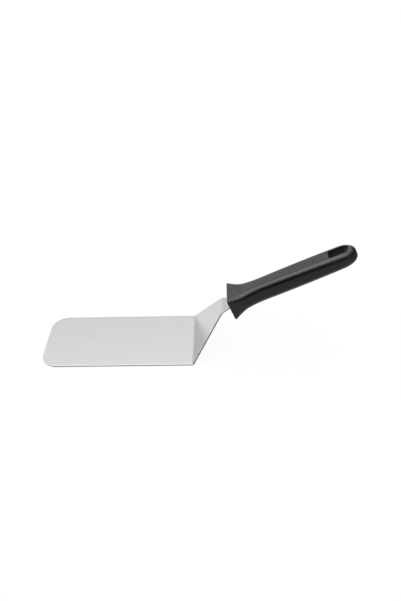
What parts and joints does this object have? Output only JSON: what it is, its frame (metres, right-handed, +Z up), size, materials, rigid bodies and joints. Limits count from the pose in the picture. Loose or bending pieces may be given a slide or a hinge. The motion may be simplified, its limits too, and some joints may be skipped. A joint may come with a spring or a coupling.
{
  "type": "offset spatula",
  "caption": "Offset spatula: a wide flat steel blade with rounded tip corners, a steep cranked neck and a flared black plastic handle with a hanging slot, for lifting and turning bakes.",
  "frame": {"origin": "centre of the blade's flat underside, the face that the spatula rests on", "axes": "+X from the blade's tip towards the handle, +Y across the blade, +Z up out of the blade's working face"},
  "size_m": [0.3237, 0.08, 0.1168],
  "materials": {
    "steel": "satin, with a fine grain brushed along the blade",
    "black_plastic": "satin, with a fine spark-eroded grain"
  },
  "bodies": {
    "root": {"blade": "steel", "handle": "black_plastic"}
  },
  "joints": []
}
